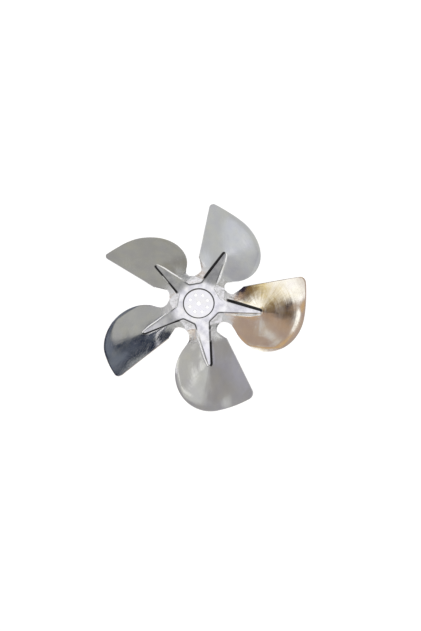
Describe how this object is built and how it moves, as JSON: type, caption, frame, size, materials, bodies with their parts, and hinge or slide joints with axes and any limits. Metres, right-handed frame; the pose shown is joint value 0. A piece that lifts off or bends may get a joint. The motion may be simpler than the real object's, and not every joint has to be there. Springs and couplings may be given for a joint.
{
  "type": "fan blade",
  "caption": "Axial fan impeller pressed from one aluminium sheet, with lobed pitched blades, tapered stiffening arms and a recessed round hub seat with a shaft hole and screw holes.",
  "frame": {"origin": "middle of the round seat's floor, on its upper face, on the axis of the shaft hole", "axes": "+Z along the fan's axis, out of the recessed seat and towards the viewer of the picture; +X and +Y are the picture's right and up directions in the fan's plane, and the first arm lies 64 degrees from +X"},
  "size_m": [0.2443, 0.2511, 0.0469],
  "materials": {
    "aluminium_sheet": "satin"
  },
  "bodies": {
    "root": {"fan_blade": "aluminium_sheet"}
  },
  "joints": []
}
